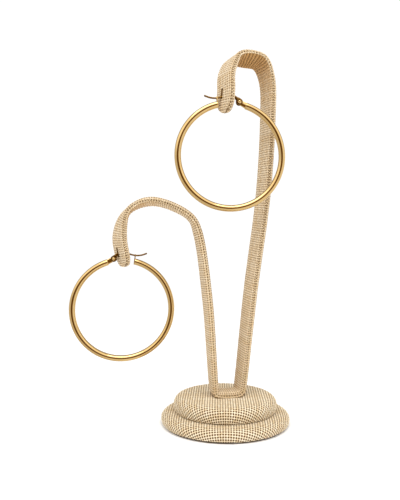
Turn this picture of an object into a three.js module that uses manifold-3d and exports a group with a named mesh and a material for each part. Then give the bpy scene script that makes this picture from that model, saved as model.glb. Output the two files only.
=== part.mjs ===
// A pair of tube hoop earrings with hinged ear wires, hanging on a linen covered double hook stand.
// Millimetres, +Z up. The origin is under the middle of the base, on the surface that it stands on.
// The stand's foot runs along X, the short hook is on the -X side, and the front faces -Y.

import * as THREE from 'three';
import { mergeVertices } from 'three/addons/utils/BufferGeometryUtils.js';
import Module from 'manifold-3d';

const wasm = await Module();
wasm.setup();

const GAP = 0.3;

// Base: a felt pad and two padded discs
const PAD = { radius: 28.9, height: 0.6 };
const LOWER_DISC = { radius: 30.2, footRadius: 29.5, widestAt: 2.9, topRadius: 25.2, height: 6.0 };
const UPPER_DISC = { radius: 24.2, footRadius: 23.4, widestAt: 9.4, topRadius: 20.6, height: 13.0 };
const FOOT_SEAT = { radius: 12, height: 12.3 };
const DISC_STEPS = 40;
const ROUNDING_STEPS = 4;

// Strip: a rounded flat section swept along its course
const STRIP = { width: 10, thickness: 2.4, corner: 0.7, straightStep: 9, bendStep: 10, tipRadius: 7 };
const TIP_STATIONS = [0.15, 0.5, 1.1, 1.9, 2.9, 4.2, 5.6, 7.0];
const COURSE_STEP = 0.05;
const COURSE_DIVISIONS = 1500;
const SLOT = { width: 1.4, length: 4.6, depth: 9.6, aboveWire: 0.7 };

// Each row is one fold of the strip, a point on its middle line. turn is the angle that its width is
// turned from +Y towards -X, and dip how far the back edge hangs below the front one, both in degrees.
const COURSE = [
  { at: 'short tip', x: -46.9, y: 9.5, z: 74, turn: 31, dip: 0 },
  { at: 'short drop', x: -49.5, y: 9, z: 88, turn: 29, dip: 0 },
  { at: 'short nose', x: -47, y: 8, z: 98.5, turn: 11, dip: 2 },
  { at: 'short rise', x: -42, y: 6.5, z: 103, turn: -4, dip: 4 },
  { at: 'short crown', x: -34.5, y: 5, z: 105, turn: -11, dip: 6 },
  { at: 'short back', x: -24.5, y: 3, z: 102.5, turn: -10, dip: 6 },
  { at: 'left shoulder', x: -16, y: 1.5, z: 97, turn: -4, dip: 2 },
  { at: 'left leg top', x: -13, y: 1, z: 90, turn: 2, dip: 0 },
  { at: 'left leg middle', x: -8.5, y: 0, z: 58, turn: 4, dip: 0 },
  { at: 'left leg bottom', x: -5.5, y: 0, z: 17.5, turn: 1, dip: 0 },
  { at: 'left corner', x: -5, y: 0, z: 14.5, turn: 0, dip: 0 },
  { at: 'foot left', x: -3, y: 0, z: 13.8, turn: 0, dip: 0 },
  { at: 'foot right', x: 5, y: 0, z: 13.8, turn: 0, dip: 0 },
  { at: 'right corner', x: 7, y: 0, z: 14.8, turn: 3, dip: 0 },
  { at: 'right leg bottom', x: 7.5, y: 0, z: 17.5, turn: 8, dip: 0 },
  { at: 'right leg middle', x: 11.5, y: -4, z: 63, turn: 12, dip: 0 },
  { at: 'right leg upper', x: 16.5, y: -7.5, z: 107, turn: 14, dip: 0 },
  { at: 'right leg top', x: 18.5, y: -8.5, z: 142, turn: 16, dip: 0 },
  { at: 'tall shoulder', x: 18, y: -9, z: 161, turn: 18, dip: 4 },
  { at: 'tall back', x: 14.5, y: -10, z: 168.5, turn: 19, dip: 14 },
  { at: 'tall crown', x: 9, y: -11.5, z: 169.5, turn: 20, dip: 22 },
  { at: 'tall rise', x: 1.5, y: -12.5, z: 168.3, turn: 29, dip: 12 },
  { at: 'tall nose', x: -2.2, y: -14, z: 162, turn: 28, dip: 2 },
  { at: 'tall drop', x: -3, y: -15.5, z: 153, turn: 29, dip: 0 },
  { at: 'tall tip', x: -3.5, y: -15.5, z: 143.4, turn: 30, dip: 0 },
];

// Hoops: x across the hoop from its middle, z up, and y through it. hand 1 has its hinge at +x.
const HOOP = { radius: 23.5, tube: 1.5, sides: 12, steps: 60 };
const HOOPS = {
  right: { hand: 1, turn: -5, centre: [-1.2, -16.0, 124.1] },
  left: { hand: -1, turn: 0, centre: [-48.2, 9.0, 53.7] },
};
const HINGE_END = 17;
const CATCH_END = 346.2;
const PIVOT = { x: 4.1, z: 24.1 };
const TAB = { thickness: 0.9, radius: 1.2, rootAngle: 20 };
const LEVER = { thickness: 2.0, radius: 1.5, shoulder: { x: 3.5, z: 25.2, radius: 0.9 } };
const TONGUE = { thickness: 0.9, x: 1.7, z: 26.7, radius: 0.55 };
const FORK = { width: 1.2, radius: 1.65 };
const RIVET = {
  shaft: 0.5, hole: 0.65, head: 0.85, headThickness: 0.3, chamfer: 0.1, face: 0.6, clearance: 0.1,
};
const PIVOT_SIDES = 20;
const PLATE_ARC_STEPS = 8;
const WIRE = { radius: 0.4, sides: 10, steps: 26, tipRings: 6 };
const WIRE_ROUTE = [
  { x: 1.9, z: 26.65 },
  { x: 0.6, z: 26.9 },
  { x: -1.0, z: 26.9 },
  { x: -3.0, z: 26.5 },
  { x: -5.0, z: 25.9 },
  { x: -7.0, z: 25.65 },
  { x: -9.2, z: 25.85 },
  { x: -11.8, z: 26.7 },
];
const CATCH = {
  x: -5.5, z: 21.4, lean: 8, thickness: 0.5, height: 4.9,
  seat: 0.95, seatTop: 2.1, ear: 0.85, earFoot: 2.9, notch: 0.58, notchDepth: 1.1,
};

const LINEN = { color: 0xdcc39a, roughness: 0.9, metalness: 0 };
const FELT = { color: 0x1d1813, roughness: 0.95, metalness: 0 };
const GOLD = { color: 0xe0b45c, roughness: 0.15, metalness: 1 };

const radians = THREE.MathUtils.degToRad;

function namedMesh(name, geometry, finish) {
  const mesh = new THREE.Mesh(geometry, new THREE.MeshStandardMaterial(finish));
  mesh.name = name;
  return mesh;
}

function toSolid(geometry) {
  const bare = geometry.clone();
  bare.deleteAttribute('normal');
  bare.deleteAttribute('uv');
  const merged = mergeVertices(bare, 1e-4);
  return new wasm.Manifold(new wasm.Mesh({
    numProp: 3,
    vertProperties: new Float32Array(merged.attributes.position.array),
    triVerts: new Uint32Array(merged.index.array),
  }));
}

function toGeometry(solid) {
  const { vertProperties, triVerts } = solid.getMesh();
  const geometry = new THREE.BufferGeometry();
  geometry.setAttribute('position', new THREE.BufferAttribute(vertProperties, 3));
  geometry.setIndex(new THREE.BufferAttribute(triVerts, 1));
  geometry.computeVertexNormals();
  return geometry;
}

// ---- Base ----

function turned(profile) {
  const points = profile.map(([radius, height]) => new THREE.Vector2(radius, height));
  return new THREE.LatheGeometry(points, DISC_STEPS).rotateX(Math.PI / 2);
}

// A padded edge: two quarter ellipses from the foot out to the widest line and in to the top.
function paddedDisc(disc, foot, top) {
  const profile = [[0, foot], [disc.footRadius, foot]];
  for (let i = 1; i <= ROUNDING_STEPS; i += 1) {
    const a = (i / ROUNDING_STEPS) * Math.PI / 2;
    profile.push([
      disc.footRadius + (disc.radius - disc.footRadius) * Math.sin(a),
      foot + (disc.widestAt - foot) * (1 - Math.cos(a)),
    ]);
  }
  for (let i = 1; i <= ROUNDING_STEPS; i += 1) {
    const a = (i / ROUNDING_STEPS) * Math.PI / 2;
    profile.push([
      disc.topRadius + (disc.radius - disc.topRadius) * Math.cos(a),
      disc.widestAt + (disc.height - disc.widestAt) * Math.sin(a),
    ]);
  }
  return turned([...profile, ...top]);
}

function makeBase() {
  const { radius, height } = PAD;
  const pressedTop = [[FOOT_SEAT.radius, FOOT_SEAT.height], [0, FOOT_SEAT.height]];
  return [
    namedMesh('base_pad', turned([[0, 0], [radius, 0], [radius, height], [0, height]]), FELT),
    namedMesh('base_lower_disc', paddedDisc(LOWER_DISC, height + GAP, [[0, LOWER_DISC.height]]), LINEN),
    namedMesh('base_upper_disc', paddedDisc(UPPER_DISC, LOWER_DISC.height + GAP, pressedTop), LINEN),
  ];
}

// ---- Strip ----

const course = new THREE.CatmullRomCurve3(
  COURSE.map((row) => new THREE.Vector3(row.x, row.y, row.z)), false, 'centripetal',
);
course.arcLengthDivisions = COURSE_DIVISIONS;

function mixRows(t, column) {
  const place = t * (COURSE.length - 1);
  const row = Math.min(Math.floor(place), COURSE.length - 2);
  return THREE.MathUtils.lerp(COURSE[row][column], COURSE[row + 1][column], place - row);
}

// The strip's middle, the way that it runs, and its width and thickness directions.
function stripFrame(t) {
  const along = course.getTangent(t);
  const turn = radians(mixRows(t, 'turn'));
  const dip = radians(mixRows(t, 'dip'));
  const across = new THREE.Vector3(
    -Math.sin(turn) * Math.cos(dip), Math.cos(turn) * Math.cos(dip), -Math.sin(dip),
  );
  across.addScaledVector(along, -across.dot(along)).normalize();
  return { middle: course.getPoint(t), across, out: along.clone().cross(across) };
}

function stripOutline() {
  const { width, thickness, corner } = STRIP;
  const outline = [];
  for (const [sx, sy, start] of [[1, 1, 0], [-1, 1, 90], [-1, -1, 180], [1, -1, 270]]) {
    for (const step of [0, 45, 90]) {
      const a = radians(start + step);
      outline.push([
        sx * (width / 2 - corner) + corner * Math.cos(a),
        sy * (thickness / 2 - corner) + corner * Math.sin(a),
      ]);
    }
  }
  return outline;
}

// How much of its full width and thickness the strip has at a distance from its nearest tip.
function tipShare(distance, radius) {
  const inside = Math.max(0, 1 - distance / radius);
  return Math.sqrt(Math.max(0, 1 - inside * inside));
}

// Places along the course, close together round the tips and bends and further apart on straights.
function stripStations(length) {
  const fromStart = TIP_STATIONS.map((d) => course.getUtoTmapping(d / length));
  const fromEnd = TIP_STATIONS.map((d) => course.getUtoTmapping(1 - d / length)).reverse();
  const between = [];
  for (let row = 0; row < COURSE.length - 1; row += 1) {
    const [start, end] = [row / (COURSE.length - 1), (row + 1) / (COURSE.length - 1)];
    const run = course.getPoint(start).distanceTo(course.getPoint(end));
    const bend = THREE.MathUtils.radToDeg(course.getTangent(start).angleTo(course.getTangent(end)));
    const steps = Math.max(1, Math.ceil(run / STRIP.straightStep), Math.ceil(bend / STRIP.bendStep));
    for (let i = 0; i < steps; i += 1) {
      const t = THREE.MathUtils.lerp(start, end, i / steps);
      if (t > fromStart.at(-1) && t < fromEnd[0]) between.push(t);
    }
  }
  return [...fromStart, ...between, ...fromEnd];
}

// The distance to the nearest tip, measured straight, which is enough within a tip's rounding.
function distanceToTip(point) {
  return Math.min(point.distanceTo(course.getPoint(0)), point.distanceTo(course.getPoint(1)));
}

function sweepStrip() {
  const outline = stripOutline();
  const n = outline.length;
  const positions = [];
  const stations = stripStations(course.getLength());
  for (const t of stations) {
    const { middle, across, out } = stripFrame(t);
    const fromTip = distanceToTip(middle);
    const widthShare = tipShare(fromTip, STRIP.tipRadius);
    const thicknessShare = tipShare(fromTip, STRIP.thickness / 2);
    for (const [w, h] of outline) {
      const point = middle.clone();
      point.addScaledVector(across, w * widthShare).addScaledVector(out, h * thicknessShare);
      positions.push(...point);
    }
  }
  const index = [];
  for (let s = 0; s < stations.length - 1; s += 1) {
    for (let i = 0; i < n; i += 1) {
      const [a, b] = [s * n + i, s * n + (i + 1) % n];
      index.push(a, b, b + n, a, b + n, a + n);
    }
  }
  const last = (stations.length - 1) * n;
  for (let i = 1; i < n - 1; i += 1) {
    index.push(0, i + 1, i, last, last + i, last + i + 1);
  }
  const geometry = new THREE.BufferGeometry();
  geometry.setAttribute('position', new THREE.Float32BufferAttribute(positions, 3));
  geometry.setIndex(index);
  return geometry;
}

// Where the strip's middle line reaches a height above its tip, and its lean there.
function tipAtHeight(side, height) {
  const length = course.getLength();
  let distance = 0;
  let place;
  do {
    distance += COURSE_STEP;
    place = side === 'left' ? distance / length : 1 - distance / length;
  } while (course.getPointAt(place).z < height);
  const along = course.getTangentAt(place);
  return { x: course.getPointAt(place).x, lean: Math.atan(along.x / along.z) };
}

// The cutter of a tip's slot: in the hoop's plane, and leaning as the strip does.
function slotCutter(side) {
  const { turn, centre } = HOOPS[side];
  const height = centre[2] + WIRE_ROUTE[2].z + SLOT.aboveWire;
  const { x, lean } = tipAtHeight(side, height);
  const y = centre[1] + (x - centre[0]) * Math.tan(radians(turn));
  return toSolid(new THREE.BoxGeometry(SLOT.depth, SLOT.width, SLOT.length)
    .rotateY(lean)
    .rotateZ(radians(turn))
    .translate(x, y, height));
}

function makeStrip() {
  const solid = toSolid(sweepStrip())
    .subtract(slotCutter('left'))
    .subtract(slotCutter('right'));
  return namedMesh('strip', toGeometry(solid), LINEN);
}

// ---- Hoops, each in its own frame ----

class RingArc extends THREE.Curve {
  constructor(hand) {
    super();
    this.hand = hand;
  }

  getPoint(t, target = new THREE.Vector3()) {
    const a = radians(THREE.MathUtils.lerp(HINGE_END, CATCH_END, t));
    return target.set(this.hand * HOOP.radius * Math.sin(a), 0, HOOP.radius * Math.cos(a));
  }
}

function disc(radius, sides) {
  const shape = new THREE.Shape();
  for (let i = 0; i < sides; i += 1) {
    const a = (i / sides) * 2 * Math.PI;
    const corner = [radius * Math.cos(a), radius * Math.sin(a)];
    if (i === 0) shape.moveTo(...corner);
    else shape.lineTo(...corner);
  }
  return shape;
}

function tube(path, radius, sides, steps) {
  return toSolid(new THREE.ExtrudeGeometry(disc(radius, sides), { steps, extrudePath: path }));
}

// A flat plate standing in the hoop's plane, whose outline wraps two circles.
function plate(hand, from, to, thickness) {
  const [x1, x2] = [hand * from.x, hand * to.x];
  const heading = Math.atan2(to.z - from.z, x2 - x1);
  const reach = Math.acos((from.radius - to.radius) / Math.hypot(x2 - x1, to.z - from.z));
  const shape = new THREE.Shape();
  shape.absarc(x1, from.z, from.radius, heading + reach, heading - reach + 2 * Math.PI, false);
  shape.absarc(x2, to.z, to.radius, heading - reach, heading + reach, false);
  const geometry = new THREE.ExtrudeGeometry(shape, {
    depth: thickness, bevelEnabled: false, curveSegments: PLATE_ARC_STEPS,
  });
  return toSolid(geometry.rotateX(Math.PI / 2).translate(0, thickness / 2, 0));
}

function pivotCylinder(hand, radius, length) {
  return toSolid(new THREE.CylinderGeometry(radius, radius, length, PIVOT_SIDES)
    .translate(hand * PIVOT.x, 0, PIVOT.z));
}

function makeCatch(hand) {
  const { seat, seatTop, ear, earFoot, notch, notchDepth, height, thickness } = CATCH;
  const notchFoot = height - notchDepth;
  const half = [
    [seat, 0], [seat, seatTop], [ear, earFoot], [ear, height], [notch, height], [notch, notchFoot],
  ];
  const outline = [...half, ...half.map(([w, h]) => [-w, h]).reverse()];
  const shape = new THREE.Shape(outline.map(([w, h]) => new THREE.Vector2(w, h)));
  const upright = new THREE.Matrix4().makeBasis(
    new THREE.Vector3(0, 1, 0), new THREE.Vector3(0, 0, 1), new THREE.Vector3(1, 0, 0),
  );
  return toSolid(new THREE.ExtrudeGeometry(shape, { depth: thickness, bevelEnabled: false })
    .translate(0, 0, -thickness / 2)
    .applyMatrix4(upright)
    .rotateY(-hand * radians(CATCH.lean))
    .translate(hand * CATCH.x, 0, CATCH.z));
}

function makeHoop(hand) {
  const end = radians(TAB.rootAngle);
  const root = { x: HOOP.radius * Math.sin(end), z: HOOP.radius * Math.cos(end), radius: TAB.radius };
  const tab = plate(hand, { ...PIVOT, radius: TAB.radius }, root, TAB.thickness)
    .subtract(pivotCylinder(hand, RIVET.hole, 2 * TAB.thickness));
  return toGeometry(tube(new RingArc(hand), HOOP.tube, HOOP.sides, HOOP.steps)
    .add(tab)
    .add(makeCatch(hand)));
}

function makeWire(hand) {
  const route = new THREE.CatmullRomCurve3(
    WIRE_ROUTE.map(({ x, z }) => new THREE.Vector3(hand * x, 0, z)),
  );
  const end = route.getPoint(1);
  const tip = new THREE.SphereGeometry(WIRE.radius, WIRE.sides, WIRE.tipRings).translate(...end);
  return tube(route, WIRE.radius, WIRE.sides, WIRE.steps).add(toSolid(tip));
}

// The lever is folded round the tab, and narrows to a tongue that the ear wire grows from.
function makeEarWire(hand) {
  const { shoulder } = LEVER;
  const lever = plate(hand, { ...PIVOT, radius: LEVER.radius }, shoulder, LEVER.thickness);
  const tongue = plate(hand, shoulder, TONGUE, TONGUE.thickness);
  const fork = pivotCylinder(hand, FORK.radius, FORK.width);
  return toGeometry(lever
    .add(tongue)
    .subtract(fork)
    .subtract(pivotCylinder(hand, RIVET.hole, 2 * LEVER.thickness))
    .add(makeWire(hand)));
}

function makeRivet() {
  const { shaft, head, face, chamfer } = RIVET;
  const inner = LEVER.thickness / 2 + RIVET.clearance;
  const outer = inner + RIVET.headThickness;
  const half = [[shaft, inner], [head, inner], [head, outer - chamfer], [face, outer], [0, outer]];
  const profile = [...half.map(([r, y]) => [r, -y]).reverse(), ...half];
  const points = profile.map(([r, y]) => new THREE.Vector2(r, y));
  return new THREE.LatheGeometry(points, PIVOT_SIDES);
}

function makeEarring(side) {
  const { hand, turn, centre } = HOOPS[side];
  const rivet = namedMesh(`hinge_pin_${side}`, makeRivet(), GOLD);
  rivet.position.set(hand * PIVOT.x, 0, PIVOT.z);
  const earring = new THREE.Group();
  earring.add(
    namedMesh(`hoop_${side}`, makeHoop(hand), GOLD),
    rivet,
    namedMesh(`ear_wire_${side}`, makeEarWire(hand), GOLD),
  );
  earring.position.set(...centre);
  earring.rotation.z = radians(turn);
  return earring;
}

const hoopsOnStand = new THREE.Group();
hoopsOnStand.add(...makeBase(), makeStrip(), makeEarring('right'), makeEarring('left'));

export default hoopsOnStand;
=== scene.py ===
import math

import bpy
from mathutils import Matrix, Vector, noise


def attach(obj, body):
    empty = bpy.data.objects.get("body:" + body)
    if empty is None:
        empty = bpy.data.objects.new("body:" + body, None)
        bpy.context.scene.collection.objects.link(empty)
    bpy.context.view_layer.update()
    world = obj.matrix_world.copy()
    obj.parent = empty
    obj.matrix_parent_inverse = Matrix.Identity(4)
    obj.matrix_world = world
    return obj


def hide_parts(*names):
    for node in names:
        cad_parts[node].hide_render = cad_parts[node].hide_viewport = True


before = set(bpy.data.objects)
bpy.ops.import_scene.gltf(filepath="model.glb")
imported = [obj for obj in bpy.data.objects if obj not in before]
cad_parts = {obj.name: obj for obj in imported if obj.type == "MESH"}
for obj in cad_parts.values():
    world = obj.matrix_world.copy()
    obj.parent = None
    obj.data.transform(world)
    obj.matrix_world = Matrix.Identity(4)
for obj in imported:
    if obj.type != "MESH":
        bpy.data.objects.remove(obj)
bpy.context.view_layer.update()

# A pair of polished tube hoops with hinged ear wires, hanging on a linen covered double hook stand.
# Lengths below are in millimetres, made metres by MM, and angles in degrees. +Z is up, and the front at -Y.
MM = 0.001

# ---- Sizes ----

# Linen: one thread and its gap, how many points draw each thread, and the weave's relief: how round its
# threads are, how far they go over and under each other, and how far the whole stands out
DISC_THREAD = 1.16
STRIP_THREAD = 1.07
POINTS_PER_THREAD = 4
DISC_RELIEF = {"round_off": 0.36, "ripple": 0.1, "rise": 0.06}
STRIP_RELIEF = {"round_off": 0.3, "ripple": 0.1, "rise": 0.14}

# Strip: its section, how far its tips are rounded, its gathered folds, its front seam, which gapes towards
# the tips, and the stitches over it. Pulled flat is how much of the weave's relief the cloth has lost.
STRIP = {"width": 10.0, "thickness": 2.4, "bulge": 0.4, "corner": 0.7, "tip": 7.0, "threads_round": 22}
PLEATS = {"pitch": 1.4, "depth": 0.45, "waver": 0.22}
SEAM = {"depth": 0.55, "width": 0.28, "gape": 1.0, "gape_reach": 12}
# Pulled flat also sets painted warm shade: the flatter the weave, the more the linen is tinted a darker tan,
# and the fewer dark holes it shows.
PULLED_FLAT = {"all over": 0.25, "in pleats": 0.65}
STITCH = {"half_size": (0.27, 0.45, 0.22), "pitch": 1.3, "slant": 24, "sunk": 0.12, "from_tip": 2}

# Each row is one fold of the strip, on its middle line. turn is the angle that its width is turned from
# +Y towards -X, dip how far its back edge hangs below the front one, seam where the front seam lies
# across the thickness, from -1 at one face to 1 at the other, and pleats how deeply the cloth is gathered
# on the inside of the bend, from 0 to 1, or to -1 on the other face.
COURSE = [
    {"at": "short tip", "x": -46.9, "y": 9.5, "z": 74, "turn": 31, "dip": 0, "seam": 0.7, "pleats": 0},
    {"at": "short drop", "x": -49.5, "y": 9, "z": 88, "turn": 29, "dip": 0, "seam": 0.7, "pleats": 0},
    {"at": "short nose", "x": -47, "y": 8, "z": 98.5, "turn": 11, "dip": 2, "seam": 0.5, "pleats": -0.5},
    {"at": "short rise", "x": -42, "y": 6.5, "z": 103, "turn": -4, "dip": 4, "seam": 0.1, "pleats": -0.6},
    {"at": "short crown", "x": -34.5, "y": 5, "z": 105, "turn": -11, "dip": 6, "seam": -0.3, "pleats": -0.3},
    {"at": "short back", "x": -24.5, "y": 3, "z": 102.5, "turn": -10, "dip": 6, "seam": -0.3, "pleats": 0},
    {"at": "left shoulder", "x": -16, "y": 1.5, "z": 97, "turn": -4, "dip": 2, "seam": 0.1, "pleats": 0},
    {"at": "left leg top", "x": -13, "y": 1, "z": 90, "turn": 2, "dip": 0, "seam": 0.2, "pleats": 0},
    {"at": "left leg middle", "x": -8.5, "y": 0, "z": 58, "turn": 4, "dip": 0, "seam": 0.1, "pleats": 0},
    {"at": "left leg bottom", "x": -5.5, "y": 0, "z": 17.5, "turn": 1, "dip": 0, "seam": 0.0, "pleats": 0},
    {"at": "left corner", "x": -5, "y": 0, "z": 14.5, "turn": 0, "dip": 0, "seam": 0.0, "pleats": 0},
    {"at": "foot left", "x": -3, "y": 0, "z": 13.8, "turn": 0, "dip": 0, "seam": 0.0, "pleats": 0},
    {"at": "foot right", "x": 5, "y": 0, "z": 13.8, "turn": 0, "dip": 0, "seam": 0.0, "pleats": 0},
    {"at": "right corner", "x": 7, "y": 0, "z": 14.8, "turn": 3, "dip": 0, "seam": 0.0, "pleats": 0},
    {"at": "right leg bottom", "x": 7.5, "y": 0, "z": 17.5, "turn": 8, "dip": 0, "seam": 0.2, "pleats": 0},
    {"at": "right leg middle", "x": 11.5, "y": -4, "z": 63, "turn": 12, "dip": 0, "seam": 0.35, "pleats": 0},
    {"at": "right leg upper", "x": 16.5, "y": -7.5, "z": 107, "turn": 14, "dip": 0, "seam": 0.4, "pleats": 0},
    {"at": "right leg top", "x": 18.5, "y": -8.5, "z": 142, "turn": 16, "dip": 0, "seam": 0.5, "pleats": 0},
    {"at": "tall shoulder", "x": 18, "y": -9, "z": 161, "turn": 18, "dip": 4, "seam": 0.3, "pleats": 0.45},
    {"at": "tall back", "x": 14.5, "y": -10, "z": 168.5, "turn": 19, "dip": 14, "seam": 0.1, "pleats": 0.9},
    {"at": "tall crown", "x": 9, "y": -11.5, "z": 169.5, "turn": 20, "dip": 22, "seam": 0.0, "pleats": 1},
    {"at": "tall rise", "x": 1.5, "y": -12.5, "z": 168.3, "turn": 29, "dip": 12, "seam": -0.4, "pleats": 1},
    {"at": "tall nose", "x": -2.2, "y": -14, "z": 162, "turn": 28, "dip": 2, "seam": -0.6, "pleats": 0.3},
    {"at": "tall drop", "x": -3, "y": -15.5, "z": 153, "turn": 29, "dip": 0, "seam": -0.7, "pleats": 0},
    {"at": "tall tip", "x": -3.5, "y": -15.5, "z": 143.4, "turn": 30, "dip": 0, "seam": -0.7, "pleats": 0},
]

# Padded discs: radii and heights of the foot, the widest line and the top
LOWER_DISC = {"foot": 29.5, "radius": 30.2, "top": 25.2, "base": 0.9, "widest": 2.9, "height": 6.0}
UPPER_DISC = {"foot": 23.4, "radius": 24.2, "top": 20.6, "base": 6.3, "widest": 9.4, "height": 13.0}
TUCK = 3.0
GRAIN_TURN = -12
# Over the rim the opened weave also shows its holes darker, as painted shade in the linen's colour.
RIM_STRETCH = {"opening": 0.35, "over": 3.0}
FOOT_PRESS = {"middle": 1.0, "half_length": 5.5, "half_width": 5.0, "softness": 1.6, "depth": 0.55}

# Hoops, in their own frame: x across from the middle, y through, z up, with the hinge at +x for hand 1
HOOP = {"radius": 23.5, "tube": 1.5, "hinge_end": 17, "catch_end": 346.2, "edge": 0.25}
HOOPS = {
    "right": {"hand": 1, "turn": -5, "centre": (-1.2, -16.0, 124.1)},
    "left": {"hand": -1, "turn": 0, "centre": (-48.2, 9.0, 53.7)},
}
PIVOT = (4.1, 24.1)
TAB = {"radius": 1.2, "thickness": 0.9, "root_angle": 18.5, "neck": 1.7, "swell": 0.2, "edge": 0.35}
LEVER = {"radius": 1.5, "shoulder": (3.5, 25.2), "shoulder_radius": 0.9, "thickness": 2.0, "edge": 0.35}
TONGUE = {"end": (1.7, 26.7), "radius": 0.55, "thickness": 0.9, "edge": 0.3}
FORK = {"width": 1.2, "radius": 1.65}
RIVET = {"shaft": 0.5, "hole": 0.65, "head": 0.85, "dome": 0.5, "inner": 1.1, "outer": 1.4}
WIRE_RADIUS = 0.4
WIRE_ROUTE = [
    (1.9, 26.65), (0.6, 26.9), (-1.0, 26.9), (-3.0, 26.5),
    (-5.0, 25.9), (-7.0, 25.65), (-9.2, 25.85), (-11.8, 26.7),
]
CATCH = {
    "x": -5.5, "z": 21.4, "lean": 8, "thickness": 0.5, "height": 4.9, "width": 1.8, "notch": 0.58,
    "notch_depth": 0.5, "edge": 0.08,
}
SLOT = {"width": 1.05, "length": 4.6, "above_wire": 0.7}

# Camera, lamp and room. The room's numbers are brightnesses, and its opening's half sizes are sines of
# angles from the camera's direction.
LENS = 38
CAMERA_PLACE = (-55.5, -246.1, 82.0)
CAMERA_TURN = -10
SOFTBOX = {"place": (-60, -260, 620), "aim": (0, 0, 60), "size": (500, 300), "power": 1.5}
ROOM = {"panel": 1.55, "behind": 0.5, "left_wall": 0.84, "right_wall": 1.12, "backdrop": 1.05}
OPENING = {"across": 0.56, "up": 0.42, "glow": (0.18, 0.09, 0.01, 1.0)}


# ---- Helpers ----

def deselect_all():
    if bpy.context.object and bpy.context.object.mode != "OBJECT":
        bpy.ops.object.mode_set(mode="OBJECT")
    bpy.ops.object.select_all(action="DESELECT")


def take(piece):
    """Makes a piece the only one selected, and the active one."""
    deselect_all()
    piece.select_set(True)
    bpy.context.view_layer.objects.active = piece


def mm(values):
    return tuple(v * MM for v in values)


def edit(piece, mode="VERT"):
    take(piece)
    bpy.ops.object.mode_set(mode="EDIT")
    bpy.ops.mesh.select_mode(type=mode)
    bpy.ops.mesh.select_all(action="DESELECT")


def leave_edit():
    bpy.ops.object.mode_set(mode="OBJECT")


def choose(piece, kind, wanted):
    """Selects the vertices, edges or faces of a piece in edit mode for which wanted(element) holds."""
    leave_edit()
    for group in (piece.data.vertices, piece.data.edges, piece.data.polygons):
        group.foreach_set("select", [False] * len(group))
    for element in getattr(piece.data, kind):
        element.select = bool(wanted(element))
    bpy.ops.object.mode_set(mode="EDIT")


def apply_modifier(piece, kind, **settings):
    take(piece)
    modifier = piece.modifiers.new(kind.title(), kind)
    for name, value in settings.items():
        setattr(modifier, name, value)
    bpy.ops.object.modifier_apply(modifier=modifier.name)


def cut(piece, cutter):
    """Takes the cutter's shape out of a piece, and the cutter away."""
    apply_modifier(piece, "BOOLEAN", operation="DIFFERENCE", object=cutter, solver="EXACT",
                   material_mode="TRANSFER")
    bpy.data.objects.remove(cutter)


def settle(piece):
    """Puts a piece's place and turn into its mesh, merges its doubles and turns its faces outwards."""
    take(piece)
    bpy.ops.object.transform_apply(location=True, rotation=True, scale=True)
    edit(piece)
    bpy.ops.mesh.select_all(action="SELECT")
    bpy.ops.mesh.remove_doubles(threshold=0.001 * MM)
    bpy.ops.mesh.normals_make_consistent(inside=False)
    leave_edit()


def finish_piece(piece, name, material, body, replaces=(), sharp=None):
    """Names, colours and shades a finished piece, and lets it ride on its CAD body."""
    piece.name = name
    piece.data.name = name
    if not any(piece.data.materials):
        piece.data.materials.clear()
        piece.data.materials.append(material)
        piece.data.polygons.foreach_set("material_index", [0] * len(piece.data.polygons))
    take(piece)
    if sharp is None:
        bpy.ops.object.shade_smooth()
    else:
        bpy.ops.object.shade_smooth_by_angle(angle=math.radians(sharp))
    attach(piece, body)
    if replaces:
        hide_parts(*replaces)
    return piece


def hermite(p0, p1, p2, p3, t):
    """A point, with its heading, on the smooth line from p1 to p2. Root spacing keeps it from swinging
    out where long and short stretches meet."""
    pairs = ((p0, p1), (p1, p2), (p2, p3))
    d0, d1, d2 = (max(math.sqrt((b - a).length), 1e-4) for a, b in pairs)
    m1 = ((p1 - p0) / d0 - (p2 - p0) / (d0 + d1) + (p2 - p1) / d1) * d1
    m2 = ((p2 - p1) / d1 - (p3 - p1) / (d1 + d2) + (p3 - p2) / d2) * d1
    a = 2 * p1 - 2 * p2 + m1 + m2
    b = -3 * p1 + 3 * p2 - 2 * m1 - m2
    return a * t ** 3 + b * t ** 2 + m1 * t + p1, 3 * a * t ** 2 + 2 * b * t + m1


def smooth_line(points, steps):
    """Points and headings along a smooth line through the given ones."""
    ends = [2 * points[0] - points[1], *points, 2 * points[-1] - points[-2]]
    line = []
    for row in range(len(points) - 1):
        for i in range(steps + (row == len(points) - 2)):
            place, heading = hermite(*ends[row:row + 4], i / steps)
            line.append((place, heading.normalized()))
    return line


# ---- Materials ----

def linear(colour):
    """A linear colour from an sRGB hex one."""
    parts = [int(colour[i:i + 2], 16) / 255 for i in (1, 3, 5)]
    return (*[p / 12.92 if p <= 0.04045 else ((p + 0.055) / 1.055) ** 2.4 for p in parts], 1.0)


def add_node(tree, kind, inputs=None, stops=(), **settings):
    """Adds a node with its settings and colour stops, and fills or links its inputs."""
    made = tree.nodes.new("ShaderNode" + kind)
    for name, value in settings.items():
        setattr(made, name, value)
    for i, (place, colour) in enumerate(stops):
        elements = made.color_ramp.elements
        element = elements[i] if i < 2 else elements.new(place)
        element.position, element.color = place, linear(colour)
    for name, value in (inputs or {}).items():
        if isinstance(value, bpy.types.NodeSocket):
            tree.links.new(value, made.inputs[name])
        else:
            made.inputs[name].default_value = value
    return made


def new_material(name):
    material = bpy.data.materials.new(name)
    material.use_nodes = True
    tree = material.node_tree
    tree.nodes.clear()
    shader = add_node(tree, "BsdfPrincipled")
    add_node(tree, "OutputMaterial", {"Surface": shader.outputs[0]})
    return material, tree, shader


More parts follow.
